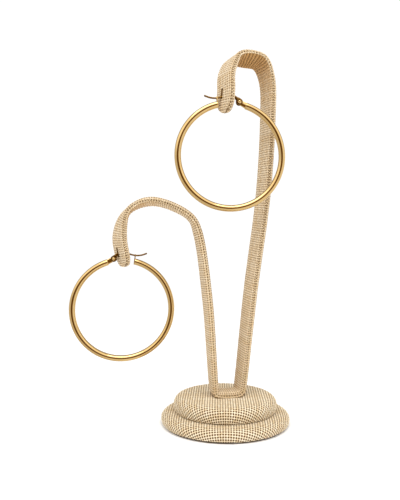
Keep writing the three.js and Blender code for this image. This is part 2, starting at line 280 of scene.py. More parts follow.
def woven_linen():
    """Natural linen in a plain weave of round spun threads: a grid of pale crowns with the holes between them
    coloured dark as painted shade, threads that differ a little in tone, slubs where the yarn is thicker,
    and no gloss but a dry sheen. Painted shade also darkens the seam's groove and the pleats' valleys, and
    painted warm shade tints the cloth where its weave is pulled flat, most inside the gathered bends. The
    cloth's real threads are finer than 1 mm, and are drawn as coarse as they need to show."""
    material, tree, shader = new_material("natural_linen_plain_weave")
    threads = add_node(tree, "UVMap", uv_map="threads").outputs["UV"]
    parts = add_node(tree, "SeparateXYZ", {"Vector": threads})
    across, along = parts.outputs["X"], parts.outputs["Y"]

    def own_shade(count):
        whole = add_node(tree, "Math", {0: count}, operation="FLOOR").outputs[0]
        return add_node(tree, "TexWhiteNoise", {"W": whole}, noise_dimensions="1D").outputs["Value"]

    def gap(count):
        turn = add_node(tree, "Math", {0: count, 1: math.pi}, operation="MULTIPLY")
        wave = add_node(tree, "Math", {0: turn.outputs[0]}, operation="COSINE")
        return add_node(tree, "Math", {0: wave.outputs[0]}, operation="ABSOLUTE").outputs[0]

    def which_on_top():
        rows = add_node(tree, "Math", {0: across}, operation="FLOOR")
        columns = add_node(tree, "Math", {0: along}, operation="FLOOR")
        total = add_node(tree, "Math", {0: rows.outputs[0], 1: columns.outputs[0]}, operation="ADD")
        return add_node(tree, "Math", {0: total.outputs[0], 1: 2.0}, operation="FLOORED_MODULO").outputs[0]

    shade = add_node(tree, "Mix", {"Factor": which_on_top(), "A": own_shade(across), "B": own_shade(along)})
    slub = add_node(tree, "TexNoise", {"Vector": threads, "Scale": 0.35, "Detail": 3.0, "Roughness": 0.6})
    mixed = add_node(tree, "Mix", {"Factor": 0.7, "A": shade.outputs["Result"], "B": slub.outputs["Fac"]})
    yarn = add_node(tree, "ValToRGB", {"Fac": mixed.outputs["Result"]},
                    stops=[(0.3, "#e0c9a2"), (0.7, "#f5e8cd")]).outputs["Color"]

    # Painted shade: the holes between the threads are coloured dark brown, more strongly where the weave is
    # stretched open, less where it is pulled flat.
    hole = add_node(tree, "Math", {0: gap(across), 1: gap(along)}, operation="MULTIPLY")
    hole_shade_mask = add_node(tree, "MapRange", {"Value": hole.outputs[0], "From Min": 0.26, "From Max": 0.7})
    open_weave = add_node(tree, "Attribute", attribute_name="weave").outputs["Fac"]
    painted_hole_shade = add_node(tree, "Math", {0: hole_shade_mask.outputs["Result"], 1: open_weave}, operation="MULTIPLY")
    # Painted shade: the depth attribute colours the seam's groove and the pleats' valleys darker, the deeper
    # they are sunk.
    depth = add_node(tree, "Attribute", attribute_name="depth").outputs["Fac"]
    painted_shade = add_node(tree, "Math", {0: painted_hole_shade.outputs[0], 1: depth}, operation="MAXIMUM")
    # Painted warm shade: where the weave is pulled flat the yarn is tinted a darker tan, most in the pleats
    # inside a bend, and a quarter over the whole strip.
    pleat_shade_share = add_node(tree, "MapRange", {
        "Value": open_weave, "From Min": 1.0, "From Max": 0.1, "To Max": 0.9,
    })
    with_pleat_shade = add_node(tree, "Mix", {
        "Factor": pleat_shade_share.outputs["Result"], "A": yarn, "B": linear("#c0904f"),
    }, data_type="RGBA")
    colour = add_node(tree, "Mix", {
        "Factor": painted_shade.outputs[0], "A": with_pleat_shade.outputs["Result"], "B": linear("#684821"),
    }, data_type="RGBA")
    fibres = add_node(tree, "TexNoise", {
        "Vector": threads, "Scale": 9.0, "Detail": 4.0, "Roughness": 0.7,
    })
    bump = add_node(tree, "Bump", {
        "Height": fibres.outputs["Fac"], "Strength": 0.5, "Distance": 0.08 * MM,
    })
    tree.links.new(colour.outputs["Result"], shader.inputs["Base Color"])
    tree.links.new(bump.outputs["Normal"], shader.inputs["Normal"])
    shader.inputs["Roughness"].default_value = 0.9
    shader.inputs["Specular IOR Level"].default_value = 0.2
    shader.inputs["Sheen Weight"].default_value = 0.1
    shader.inputs["Sheen Roughness"].default_value = 0.5
    return material


def sewing_thread():
    """Twisted linen sewing thread, a little paler than the cloth, and uneven where its plies turn."""
    material, tree, shader = new_material("twisted_linen_sewing_thread")
    place = add_node(tree, "TexCoord").outputs["Object"]
    twist = add_node(tree, "TexNoise", {"Vector": place, "Scale": 1 / (0.25 * MM), "Detail": 3.0})
    yarn = add_node(tree, "ValToRGB", {"Fac": twist.outputs["Fac"]},
                    stops=[(0.35, "#cdb082"), (0.6, "#e8d2a8")])
    bump = add_node(tree, "Bump", {
        "Height": twist.outputs["Fac"], "Strength": 0.6, "Distance": 0.05 * MM,
    })
    tree.links.new(yarn.outputs["Color"], shader.inputs["Base Color"])
    tree.links.new(bump.outputs["Normal"], shader.inputs["Normal"])
    shader.inputs["Roughness"].default_value = 0.8
    return material


def polished_gold_plate():
    """Brass with polished gold plating: a clear warm mirror, with the faint haze and fine lines that a
    polishing mop leaves, too fine to show on their own, so they only spread the highlights."""
    material, tree, shader = new_material("polished_gold_plated_brass")
    place = add_node(tree, "TexCoord").outputs["Object"]
    haze = add_node(tree, "TexNoise", {"Vector": place, "Scale": 1 / (6 * MM), "Detail": 4.0})
    lines = add_node(tree, "TexNoise", {"Vector": place, "Scale": 1 / (0.3 * MM), "Detail": 2.0})
    rough = add_node(tree, "MapRange", {"Value": haze.outputs["Fac"], "To Min": 0.06, "To Max": 0.13})
    tint = add_node(tree, "ValToRGB", {"Fac": haze.outputs["Fac"]},
                    stops=[(0.3, "#d1ae73"), (0.7, "#dab97f")])
    bump = add_node(tree, "Bump", {
        "Height": lines.outputs["Fac"], "Strength": 0.06, "Distance": 0.01 * MM,
    })
    tree.links.new(tint.outputs["Color"], shader.inputs["Base Color"])
    tree.links.new(rough.outputs["Result"], shader.inputs["Roughness"])
    tree.links.new(bump.outputs["Normal"], shader.inputs["Normal"])
    shader.inputs["Metallic"].default_value = 1.0
    return material


def spring_brass():
    """The hard brass of the levers and ear wires, deeper and browner than the tubes' plating, with the
    drawing lines of the wire, drawn coarser than they are so that they show as a soft streak."""
    material, tree, shader = new_material("hard_drawn_spring_brass")
    place = add_node(tree, "TexCoord").outputs["Object"]
    streak = add_node(tree, "TexNoise", {"Vector": place, "Scale": 1 / (0.8 * MM), "Detail": 3.0})
    rough = add_node(tree, "MapRange", {"Value": streak.outputs["Fac"], "To Min": 0.15, "To Max": 0.25})
    tint = add_node(tree, "ValToRGB", {"Fac": streak.outputs["Fac"]},
                    stops=[(0.35, "#6e4d1b"), (0.65, "#85622c")])
    tree.links.new(tint.outputs["Color"], shader.inputs["Base Color"])
    tree.links.new(rough.outputs["Result"], shader.inputs["Roughness"])
    shader.inputs["Metallic"].default_value = 1.0
    return material


def pressed_felt():
    """Brown pressed wool felt under the base: matt, with a short nap that breaks the light up."""
    material, tree, shader = new_material("pressed_wool_felt")
    place = add_node(tree, "TexCoord").outputs["Object"]
    nap = add_node(tree, "TexNoise", {
        "Vector": place, "Scale": 1 / (0.4 * MM), "Detail": 6.0, "Roughness": 0.8,
    })
    wool = add_node(tree, "ValToRGB", {"Fac": nap.outputs["Fac"]},
                    stops=[(0.3, "#3a2f26"), (0.7, "#6b5a48")])
    bump = add_node(tree, "Bump", {
        "Height": nap.outputs["Fac"], "Strength": 0.8, "Distance": 0.15 * MM,
    })
    tree.links.new(wool.outputs["Color"], shader.inputs["Base Color"])
    tree.links.new(bump.outputs["Normal"], shader.inputs["Normal"])
    shader.inputs["Roughness"].default_value = 0.95
    shader.inputs["Sheen Weight"].default_value = 0.3
    return material


def slot_lining():
    """The turned-in linen edge inside a slot, dark because no light reaches it."""
    material, tree, shader = new_material("turned_linen_slot_edge")
    place = add_node(tree, "TexCoord").outputs["Object"]
    fray = add_node(tree, "TexNoise", {"Vector": place, "Scale": 1 / (0.3 * MM), "Detail": 3.0})
    cloth = add_node(tree, "ValToRGB", {"Fac": fray.outputs["Fac"]},
                     stops=[(0.3, "#4a3114"), (0.7, "#7a5a2e")])
    tree.links.new(cloth.outputs["Color"], shader.inputs["Base Color"])
    shader.inputs["Roughness"].default_value = 0.95
    return material


LINEN = woven_linen()
SEWING_THREAD = sewing_thread()
GOLD = polished_gold_plate()
SPRING_BRASS = spring_brass()
FELT = pressed_felt()
SLOT_LINING = slot_lining()


# ---- Linen: its threads raised from a smooth shape ----

def thread_height(u, v, round_off, ripple):
    """How high the weave stands at (u, v), counted in threads: the higher of the two crossing threads."""
    lift_u = 1 + 0.25 * noise.noise(Vector((math.floor(u) * 3.7, v * 0.15, 2.0)))
    lift_v = 1 + 0.25 * noise.noise(Vector((u * 0.15, math.floor(v) * 3.7, 9.0)))
    warp = round_off * (abs(math.sin(math.pi * u)) ** 0.7 * lift_u - 1)
    weft = round_off * (abs(math.sin(math.pi * v)) ** 0.7 * lift_v - 1)
    warp += ripple * (-1) ** math.floor(u) * math.sin(math.pi * v)
    weft -= ripple * (-1) ** math.floor(v) * math.sin(math.pi * u)
    return max(warp, weft)


def raise_threads(piece, places, sunk, calm, round_off, ripple, rise):
    """Moves each point of a smooth piece out or in along its normal, as the threads of the cloth do.
    places holds each point's (u, v) in threads, sunk a further depth in millimetres, and calm how much of
    the weave is pulled flat, from 0 to 1, or below 0 where it is pulled open."""
    mesh = piece.data
    normals = [vertex.normal.copy() for vertex in mesh.vertices]
    # depth and weave are masks for the linen's painted shade: depth from how far a point is sunk, weave from
    # how open the weave is.
    depth = mesh.attributes.new("depth", "FLOAT", "POINT")
    weave = mesh.attributes.new("weave", "FLOAT", "POINT")
    for i, vertex in enumerate(mesh.vertices):
        height = rise + thread_height(*places[i], round_off, ripple) * (1 - calm[i]) - sunk[i]
        vertex.co += normals[i] * height * MM
        depth.data[i].value = min(1.0, max(0.0, (sunk[i] - 0.1) * 2.4))
        weave.data[i].value = 1 - calm[i]
    mesh.update()


# ---- Base ----

def disc_profile(disc):
    """The cover's line from the disc's middle, over its padded edge and under its foot, as (distance along
    the cloth, radius, height), in fine steps."""
    rows = [(r * 0.5, disc["height"]) for r in range(int(disc["top"] * 2))]
    for i in range(31):
        a = i / 30 * math.pi / 2
        rows.append((
            disc["top"] + (disc["radius"] - disc["top"]) * math.sin(a),
            disc["widest"] + (disc["height"] - disc["widest"]) * math.cos(a),
        ))
    for i in range(1, 21):
        a = i / 20 * math.pi / 2
        rows.append((
            disc["foot"] + (disc["radius"] - disc["foot"]) * math.cos(a),
            disc["widest"] - (disc["widest"] - disc["base"]) * math.sin(a),
        ))
    rows.append((disc["foot"] - TUCK, disc["base"]))
    line = [(0.0, *rows[0])]
    for (r0, z0), (r1, z1) in zip(rows, rows[1:]):
        line.append((line[-1][0] + math.hypot(r1 - r0, z1 - z0), r1, z1))
    return line


def along_profile(line, distance):
    low, high = 0, len(line) - 1
    while high - low > 1:
        middle = (low + high) // 2
        if line[middle][0] <= distance:
            low = middle
        else:
            high = middle
    (s0, r0, z0), (s1, r1, z1) = line[low], line[high]
    share = min(1.0, max(0.0, (distance - s0) / max(s1 - s0, 1e-9)))
    return r0 + (r1 - r0) * share, z0 + (z1 - z0) * share


def foot_press(x, y):
    """How far the strip's foot presses the padding down, in millimetres."""
    foot = FOOT_PRESS
    beyond = max(abs(x - foot["middle"]) - foot["half_length"], abs(y) - foot["half_width"], 0.0)
    return foot["depth"] * math.exp(-(beyond / foot["softness"]) ** 2)


def make_disc_cover(name, disc, node, pressed):
    """A round of linen, laid flat as a grid of threads, drawn over its padded disc and tucked under. Over
    the rim the stretched weave opens."""
    line = disc_profile(disc)
    reach = line[-1][0]
    threads = 2 * math.ceil(reach / DISC_THREAD)
    deselect_all()
    bpy.ops.mesh.primitive_grid_add(
        x_subdivisions=threads * POINTS_PER_THREAD, y_subdivisions=threads * POINTS_PER_THREAD,
        size=threads * DISC_THREAD * MM,
    )
    cover = bpy.context.object
    edit(cover)
    choose(cover, "vertices", lambda v: v.co.length > (reach + 0.15) * MM)
    bpy.ops.mesh.delete(type="VERT")
    bpy.ops.mesh.select_all(action="SELECT")
    bpy.ops.mesh.region_to_loop()
    leave_edit()
    rim = {v.index for v in cover.data.vertices if v.select}

    places, calm, grain = [], [], math.radians(GRAIN_TURN)
    for vertex in cover.data.vertices:
        u, v = vertex.co.x / MM, vertex.co.y / MM
        places.append((u / DISC_THREAD, v / DISC_THREAD))
        distance = reach if vertex.index in rim else math.hypot(u, v)
        past_top = min(1.0, max(0.0, (distance - disc["top"]) / RIM_STRETCH["over"]))
        calm.append(-RIM_STRETCH["opening"] * past_top)
        radius, height = along_profile(line, distance)
        a = math.atan2(v, u) + grain
        x, y = radius * math.cos(a), radius * math.sin(a)
        if pressed and height > disc["widest"]:
            height -= foot_press(x, y)
        vertex.co = Vector((x, y, height)) * MM

    uv = cover.data.uv_layers.active or cover.data.uv_layers.new()
    uv.name = "threads"
    for loop in cover.data.loops:
        uv.data[loop.index].uv = places[loop.vertex_index]
    cover.data.update()
    raise_threads(cover, places, [0.0] * len(places), calm, **DISC_RELIEF)

    edit(cover, "EDGE")
    bpy.ops.mesh.select_non_manifold(extend=False)
    bpy.ops.mesh.edge_face_add()
    leave_edit()
    settle(cover)
    finish_piece(cover, name, LINEN, "stand", replaces=[node])
    return cover


# ---- Strip ----

class Course:
    """The strip's middle line, by distance along it from the short tip."""

    def __init__(self):
        rows = smooth_line([Vector((r["x"], r["y"], r["z"])) for r in COURSE], 40)
        settings = [Vector((r["turn"], r["dip"], r["seam"], r["pleats"])) for r in COURSE]
        mixes = smooth_line(settings, 40)
        self.stations = []
        distance = 0.0
        for i, ((place, heading), (mix, _)) in enumerate(zip(rows, mixes)):
            if i:
                distance += (place - rows[i - 1][0]).length
            self.stations.append((distance, place, heading, mix))
        self.length = distance
        self.cursor = 0

    def at(self, distance):
        """Middle, heading, width and thickness directions, seam place and pleats. Calls go forwards."""
        if distance < self.stations[self.cursor][0]:
            self.cursor = 0
        while self.cursor < len(self.stations) - 2 and self.stations[self.cursor + 1][0] < distance:
            self.cursor += 1
        low, high = self.stations[self.cursor], self.stations[self.cursor + 1]
        share = (distance - low[0]) / (high[0] - low[0])
        place, heading, mix = (a.lerp(b, share) for a, b in zip(low[1:], high[1:]))
        heading.normalize()
        turn, dip = math.radians(mix.x), math.radians(mix.y)
        across = Vector((
            -math.sin(turn) * math.cos(dip), math.cos(turn) * math.cos(dip), -math.sin(dip),
        ))
        across = (across - heading * across.dot(heading)).normalized()
        return place, heading, across, heading.cross(across), mix.z, mix.w


def section_point(distance):
    """A point of the strip's section and its outward direction, by distance round it from the back edge."""
    half_w, half_t, corner = STRIP["width"] / 2, STRIP["thickness"] / 2, STRIP["corner"]
    flat_w, flat_t, bend = half_w - corner, half_t - corner, corner * math.pi / 2
    runs = [
        (flat_t, (half_w, 0), (0, 1)), (bend, (flat_w, flat_t), 0),
        (2 * flat_w, (flat_w, half_t), (-1, 0)), (bend, (-flat_w, flat_t), 90),
        (2 * flat_t, (-half_w, flat_t), (0, -1)), (bend, (-flat_w, -flat_t), 180),
        (2 * flat_w, (-flat_w, -half_t), (1, 0)), (bend, (flat_w, -flat_t), 270),
        (flat_t, (half_w, -flat_t), (0, 1)),
    ]
    for length, start, way in runs:
        if distance <= length + 1e-9:
            if isinstance(way, tuple):
                return start[0] + way[0] * distance, start[1] + way[1] * distance
            a = math.radians(way) + distance / corner
            return start[0] + corner * math.cos(a), start[1] + corner * math.sin(a)
        distance -= length
    return half_w, 0.0


def section_length():
    flat = STRIP["width"] + STRIP["thickness"] - 4 * STRIP["corner"]
    return 2 * flat + 2 * math.pi * STRIP["corner"]


def tip_share(distance, radius):
    """How much of its size the strip has at a distance from its tip."""
    inside = max(0.0, 1 - distance / radius)
    return math.sqrt(max(0.0, 1 - inside * inside))


def strip_distances(length):
    """Where the rings of the strip's cover stand: round the tips by angle, and evenly between."""
    tip, step = STRIP["tip"], STRIP_THREAD / POINTS_PER_THREAD
    turns = [0.07 + i * 0.055 for i in range(28)]
    near = [tip * (1 - math.cos(a)) for a in turns if a < math.pi / 2]
    count = round((length - 2 * tip) / step)
    middle = [tip + (length - 2 * tip) * i / count for i in range(count + 1)]
    return near + middle + [length - d for d in reversed(near)]


def make_strip_cover(course):
    """The linen sleeve of the strip: rings of points round its section, with pleats where the cloth is
    gathered inside a bend, and a groove along the front where it is sewn shut."""
    n = STRIP["threads_round"] * POINTS_PER_THREAD
    round_it = section_length()
    section = [section_point(round_it * i / n) for i in range(n)]
    distances = strip_distances(course.length)
    points, places, sunk, calm = [], [], [], []
    for distance in distances:
        place, heading, across, out, seam, pleats = course.at(distance)
        from_tip = min(distance, course.length - distance)
        wide, thick = tip_share(from_tip, STRIP["tip"]), tip_share(from_tip, STRIP["thickness"] / 2)
        gape = 1 + SEAM["gape"] * max(0.0, 1 - from_tip / SEAM["gape_reach"])
        for i, (w, h) in enumerate(section):
            full = 1 + STRIP["bulge"] * (1 - (w * 2 / STRIP["width"]) ** 2) / (STRIP["thickness"] / 2)
            points.append((place + across * w * wide + out * h * full * thick) * MM)
            u = i / POINTS_PER_THREAD
            places.append((u, distance / STRIP_THREAD))
            from_seam = abs(round_it * (i / n - 0.5) + seam * STRIP["thickness"] * 0.45)
            groove = SEAM["depth"] * math.exp(-(from_seam / SEAM["width"] / gape) ** 2)
            inner = min(1.0, max(0.0, pleats * math.copysign(1, h))) * (abs(h) > 0.9)
            waver = PLEATS["waver"] * noise.noise(Vector((w * 0.35, distance * 0.3, 4.0)))
            wave = 0.5 + 0.5 * math.cos(2 * math.pi * (distance / PLEATS["pitch"] + waver))
            # What is sunk here, the seam's groove and the pleats' valleys, is also coloured darker in the
            # linen as painted shade.
            sunk.append(groove + inner * PLEATS["depth"] * wave ** 1.3)
            # calm also sets how strongly the painted warm pleat shade tints the linen here.
            calm.append(PULLED_FLAT["all over"] + PULLED_FLAT["in pleats"] * inner)
    faces, corners = [], []
    for ring in range(len(distances) - 1):
        for i in range(n):
            j = (i + 1) % n
            a, b = ring * n, (ring + 1) * n
            faces.append((a + i, a + j, b + j, b + i))
            u0, u1 = i / POINTS_PER_THREAD, (i + 1) / POINTS_PER_THREAD
            v0, v1 = distances[ring] / STRIP_THREAD, distances[ring + 1] / STRIP_THREAD
            corners += [(u0, v0), (u1, v0), (u1, v1), (u0, v1)]
    last = (len(distances) - 1) * n
    faces += [tuple(reversed(range(n))), tuple(range(last, last + n))]
    corners += [(i / POINTS_PER_THREAD, 0.0) for i in range(2 * n)]
    mesh = bpy.data.meshes.new("strip_cover")
    mesh.from_pydata(points, [], faces)
    uv = mesh.uv_layers.new(name="threads")
    for i, corner in enumerate(corners):
        uv.data[i].uv = corner
    cover = bpy.data.objects.new("strip_cover", mesh)
    bpy.context.scene.collection.objects.link(cover)
    mesh.materials.append(LINEN)
    mesh.update()
    raise_threads(cover, places, sunk, calm, **STRIP_RELIEF)
    settle(cover)
    return cover


def tip_height(course, side, height):
    """Where the strip's middle line passes a height above its tip, and its lean there."""
    distance = 0.0
    while True:
        distance += 0.05
        place, heading, *_ = course.at(distance if side == "left" else course.length - distance)
        if place.z >= height:
            return place.x, math.atan(heading.x / heading.z)


def cut_slot(cover, course, side):
    """A slot through a tip, in its hoop's plane, turned in and lined with its own cloth."""
    hoop = HOOPS[side]
    height = hoop["centre"][2] + WIRE_ROUTE[2][1] + SLOT["above_wire"]
    x, lean = tip_height(course, side, height)
    turn = math.radians(hoop["turn"])
    y = hoop["centre"][1] + (x - hoop["centre"][0]) * math.tan(turn)
    deselect_all()
    bpy.ops.mesh.primitive_cube_add(size=1, location=mm((x, y, height)), rotation=(0, lean, turn))
    cutter = bpy.context.object
    cutter.scale = mm((3 * STRIP["thickness"], SLOT["width"], SLOT["length"]))
    cutter.data.materials.append(SLOT_LINING)
    settle(cutter)
    cut(cover, cutter)


def make_seam_stitches(course):
    """Slanted stitches of sewing thread over the front seam, each a short bowed bar."""
    deselect_all()
    bpy.ops.mesh.primitive_uv_sphere_add(segments=8, ring_count=7, radius=1)
    stitch = bpy.context.object
    edit(stitch)
    bpy.ops.mesh.select_all(action="SELECT")
    bpy.ops.transform.resize(value=mm(STITCH["half_size"]), orient_type="GLOBAL")
    leave_edit()
    model = stitch.data.copy()
    bpy.data.objects.remove(stitch)

    points, faces = [], []
    slant = Matrix.Rotation(math.radians(STITCH["slant"]), 3, "Z")
    sewn = course.length - 2 * STITCH["from_tip"]
    count = round(sewn / STITCH["pitch"])
    for i in range(count + 1):
        distance = STITCH["from_tip"] + sewn * i / count
        place, heading, across, out, seam, _ = course.at(distance)
        from_tip = min(distance, course.length - distance)
        wide = tip_share(from_tip, STRIP["tip"])
        front = STRIP["width"] / 2 * wide - STITCH["sunk"]
        centre = place - across * front + out * seam * STRIP["thickness"] * 0.42
        lean = math.radians(-38) * max(0.0, abs(seam) - 0.25) * math.copysign(1, seam)
        frame_of_stitch = Matrix((heading, out, -across)).transposed()
        turned = frame_of_stitch @ Matrix.Rotation(lean, 3, "X") @ slant
        start = len(points)
        points += [turned @ vertex.co + centre * MM for vertex in model.vertices]
        faces += [tuple(start + k for k in polygon.vertices) for polygon in model.polygons]
    mesh = bpy.data.meshes.new("strip_seam_stitches")
    mesh.from_pydata(points, [], faces)
    stitches = bpy.data.objects.new("strip_seam_stitches", mesh)
    bpy.context.scene.collection.objects.link(stitches)
    settle(stitches)
    return finish_piece(stitches, "strip_seam_stitches", SEWING_THREAD, "stand")


# ---- Hoops, each modelled in its own frame and then placed ----

def place_on_hoop(piece, side):
    """Mirrors a piece for its hand, and puts it at its hoop's place."""
    hoop = HOOPS[side]
    take(piece)
    bpy.ops.object.transform_apply(location=True, rotation=True, scale=True)
    piece.data.transform(Matrix.Diagonal((hoop["hand"], 1, 1, 1)))
    turn = Matrix.Rotation(math.radians(hoop["turn"]), 4, "Z")
    piece.data.transform(Matrix.Translation(mm(hoop["centre"])) @ turn)
    settle(piece)


def make_tube(side):
    """The hoop's tube: a circle spun round the hoop's middle, its ends closed and their edges rounded."""
    start = math.radians(HOOP["hinge_end"])
    sweep = math.radians(HOOP["catch_end"] - HOOP["hinge_end"])
    place = mm((HOOP["radius"] * math.sin(start), 0, HOOP["radius"] * math.cos(start)))
    deselect_all()
    bpy.ops.mesh.primitive_circle_add(
        vertices=36, radius=HOOP["tube"] * MM, location=place, rotation=(0, math.pi / 2 + start, 0),
    )
    tube = bpy.context.object
    bpy.ops.object.transform_apply(location=True, rotation=True, scale=True)
    edit(tube)
    bpy.ops.mesh.select_all(action="SELECT")
    bpy.ops.mesh.spin(steps=220, angle=-sweep, center=(0, 0, 0), axis=(0, 1, 0))
    leave_edit()
    settle(tube)
    close_tube_end(tube, first=True)
    close_tube_end(tube, first=False)
    place_on_hoop(tube, side)
    return finish_piece(tube, f"{side}_hoop_tube", GOLD, "stand", [f"hoop_{side}"], sharp=40)


def close_tube_end(tube, first):
    """Closes one open end of the tube with a cap whose edge is rolled in."""
    def at_end(edge):
        x = sum(tube.data.vertices[i].co.x for i in edge.vertices)
        return edge.index in open_edges and (x > 0) == first

    uses = {}
    for polygon in tube.data.polygons:
        for key in polygon.edge_keys:
            uses[key] = uses.get(key, 0) + 1
    open_edges = {edge.index for edge in tube.data.edges if uses[edge.key] == 1}
    edit(tube, "EDGE")
    choose(tube, "edges", at_end)
    bpy.ops.mesh.edge_face_add()
    bpy.ops.mesh.select_mode(type="FACE")
    bpy.ops.mesh.bevel(offset=HOOP["edge"] * MM, segments=4, affect="EDGES")
    leave_edit()


def make_plate(start, start_radius, end, end_radius, thickness):
    """A flat plate with rounded edges, standing in the hoop's plane, whose outline wraps two circles: a
    disc with its far side drawn out to the second circle."""
    run = Vector((end[0] - start[0], 0, end[1] - start[1]))
    reach = math.acos((start_radius - end_radius) / run.length)
    deselect_all()
    bpy.ops.mesh.primitive_circle_add(
        vertices=64, radius=start_radius * MM, fill_type="NGON", rotation=(math.pi / 2, 0, 0),
    )
    plate = bpy.context.object
    bpy.ops.object.transform_apply(location=True, rotation=True, scale=True)
    heading = run.normalized()
    edit(plate)
    choose(plate, "vertices", lambda v: v.co.normalized().dot(heading) > math.cos(reach))
    scale = end_radius / start_radius
    bpy.ops.transform.resize(value=(scale, scale, scale), center_override=(0, 0, 0))
    bpy.ops.transform.translate(value=run * MM)
    bpy.ops.mesh.select_all(action="SELECT")
    bpy.ops.transform.translate(value=mm((start[0], -thickness / 2, start[1])))
    bpy.ops.mesh.extrude_region_move(TRANSFORM_OT_translate={"value": (0, thickness * MM, 0)})
    leave_edit()
    settle(plate)
    return plate


def round_edges(piece, radius):
    """Rounds the sharp edges of a metal piece."""
    apply_modifier(piece, "BEVEL", width=radius * MM, segments=3, limit_method="ANGLE",
                   angle_limit=math.radians(50))


def pivot_cylinder(radius, length):
    deselect_all()
    bpy.ops.mesh.primitive_cylinder_add(
        vertices=48, radius=radius * MM, depth=length * MM,
        location=mm((PIVOT[0], 0, PIVOT[1])), rotation=(math.pi / 2, 0, 0),
    )
    cylinder = bpy.context.object
    settle(cylinder)
    return cylinder


def join(pieces):
    take(pieces[0])
    for piece in pieces:
        piece.select_set(True)
    bpy.ops.object.join()
    return pieces[0]


def swell_neck(tab, root):
    """Slopes the tab's two faces apart, from beside its eye to the tube."""
    run = Vector((root[0] - PIVOT[0], 0, root[1] - PIVOT[1])).normalized()
    start = Vector((PIVOT[0], 0, PIVOT[1])) + run * TAB["neck"]
    edit(tab)
    bpy.ops.mesh.select_all(action="SELECT")
    bpy.ops.mesh.bisect(plane_co=start * MM, plane_no=run)
    leave_edit()
    for vertex in tab.data.vertices:
        beyond = max(0.0, (vertex.co / MM - start).dot(run))
        vertex.co.y += math.copysign(TAB["swell"] * beyond * MM, vertex.co.y)


def make_tab(side):
    """The hinge tab: the tube's end drawn down to a flat eye, which the lever is folded round."""
    end = math.radians(TAB["root_angle"])
    root = (HOOP["radius"] * math.sin(end), HOOP["radius"] * math.cos(end))
    tab = make_plate(PIVOT, TAB["radius"], root, TAB["radius"], TAB["thickness"])
    swell_neck(tab, root)
    round_edges(tab, TAB["edge"])
    cut(tab, pivot_cylinder(RIVET["hole"], 4))
    place_on_hoop(tab, side)
    return finish_piece(tab, f"{side}_hinge_tab", GOLD, "stand", sharp=30)


def make_catch(side):
    """The catch: an upright plate with a notch that the ear wire springs into."""
    deselect_all()
    bpy.ops.mesh.primitive_cube_add(size=1, location=mm((0, 0, CATCH["height"] / 2)))
    catch = bpy.context.object
    catch.scale = mm((CATCH["thickness"], CATCH["width"], CATCH["height"]))
    settle(catch)
    deselect_all()
    bpy.ops.mesh.primitive_cylinder_add(
        vertices=32, radius=CATCH["notch"] * MM, depth=4 * MM,
        location=mm((0, 0, CATCH["height"] - CATCH["notch_depth"])), rotation=(0, math.pi / 2, 0),
    )
    notch = bpy.context.object
    settle(notch)
    edit(notch)
    choose(notch, "vertices", lambda v: v.co.z > (CATCH["height"] - CATCH["notch_depth"]) * MM)
    bpy.ops.transform.translate(value=(0, 0, 2 * MM))
    leave_edit()
    cut(catch, notch)
    round_edges(catch, CATCH["edge"])
    catch.rotation_euler = (0, -math.radians(CATCH["lean"]), 0)
    catch.location = mm((CATCH["x"], 0, CATCH["z"]))
    place_on_hoop(catch, side)
    return finish_piece(catch, f"{side}_catch", GOLD, "stand", sharp=30)


def make_rivet(side):
    """The hinge rivet: a shaft with a round head each side, flat with a domed middle."""
    rows = [
        (RIVET["shaft"], 0), (RIVET["shaft"], RIVET["inner"]), (RIVET["head"], RIVET["inner"]),
        (RIVET["head"], RIVET["outer"] - 0.12), (RIVET["head"] - 0.12, RIVET["outer"]),
        (RIVET["dome"], RIVET["outer"] - 0.05), (RIVET["dome"] * 0.85, RIVET["outer"] + 0.12),
        (RIVET["dome"] * 0.5, RIVET["outer"] + 0.22), (RIVET["dome"] * 0.2, RIVET["outer"] + 0.26),
    ]
    deselect_all()
    bpy.ops.mesh.primitive_circle_add(vertices=40, radius=rows[0][0] * MM)
    rivet = bpy.context.object
    edit(rivet)
    bpy.ops.mesh.select_all(action="SELECT")
    for (r0, z0), (r1, z1) in zip(rows, rows[1:]):
        bpy.ops.mesh.extrude_region_move(TRANSFORM_OT_translate={"value": (0, 0, (z1 - z0) * MM)})
        bpy.ops.transform.resize(value=(r1 / r0, r1 / r0, 1), center_override=(0, 0, 0))
    bpy.ops.mesh.edge_face_add()
    leave_edit()
    apply_modifier(rivet, "MIRROR", use_axis=(False, False, True))
    rivet.rotation_euler = (math.pi / 2, 0, 0)
    rivet.location = mm((PIVOT[0], 0, PIVOT[1]))
    place_on_hoop(rivet, side)
    return finish_piece(rivet, f"{side}_rivet", GOLD, "stand", [f"hinge_pin_{side}"], sharp=30)


def make_wire(side):
    """The ear wire, bent along its route, with a rounded free end."""
    route = [Vector((x, 0, z)) for x, z in WIRE_ROUTE]
    line = [place for place, _ in smooth_line(route, 12)]
    curve = bpy.data.curves.new("wire", "CURVE")
    curve.dimensions = "3D"
    curve.bevel_depth = WIRE_RADIUS * MM
    curve.bevel_resolution = 5
    curve.use_fill_caps = True
    end = line[-1]
    kept = [place for place in line if (place - end).length > WIRE_RADIUS]
    heading = (end - kept[-1]).normalized()
    rounding = [math.radians(a) for a in range(0, 90, 12)]
    kept += [end - heading * WIRE_RADIUS * (1 - math.sin(a)) for a in rounding]
    spline = curve.splines.new("POLY")
    spline.points.add(len(kept) - 1)
    for i, (point, place) in enumerate(zip(spline.points, kept)):
        point.co = (*(place * MM), 1)
        late = i - (len(kept) - len(rounding))
        point.radius = math.cos(rounding[late]) if late >= 0 else 1.0
    wire = bpy.data.objects.new("wire", curve)
    bpy.context.scene.collection.objects.link(wire)
    take(wire)
    bpy.ops.object.convert(target="MESH")
    wire = bpy.context.object
    place_on_hoop(wire, side)
    return finish_piece(wire, f"{side}_ear_wire", SPRING_BRASS, f"{side}_wire", sharp=60)


